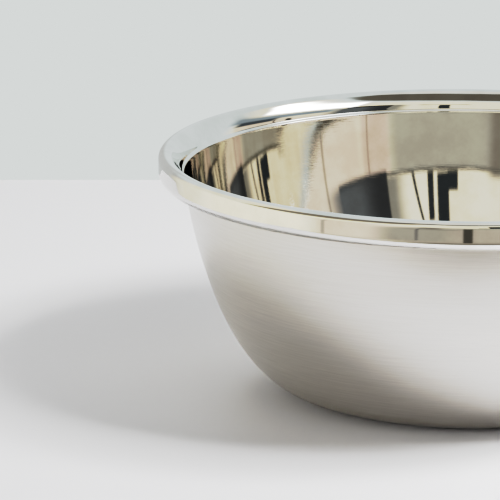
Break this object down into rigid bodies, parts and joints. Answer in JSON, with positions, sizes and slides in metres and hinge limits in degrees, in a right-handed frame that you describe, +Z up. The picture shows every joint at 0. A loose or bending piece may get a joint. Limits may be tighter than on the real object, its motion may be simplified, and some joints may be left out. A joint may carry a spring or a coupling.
{
  "type": "mixing bowl",
  "caption": "Deep round steel bowl for mixing dough and batter, brushed outside and mirror-polished inside, with a flat base and a wide polished rolled rim to grip.",
  "frame": {"origin": "on the bowl's axis, at the plane that its base stands on", "axes": "+Z up along the bowl's axis; X and Y are equal because the bowl is round"},
  "size_m": [0.28, 0.28, 0.108],
  "materials": {
    "brushed_steel": "stainless steel, fine circumferential brushing outside and mirror polish inside",
    "polished_steel": "mirror-polished stainless steel with very fine wipe marks",
    "bare_wire": "plain drawn steel wire, hidden inside the roll"
  },
  "bodies": {
    "root": {"bowl_body": "brushed_steel", "rolled_rim": "polished_steel", "rim_wire": "bare_wire"}
  },
  "joints": []
}
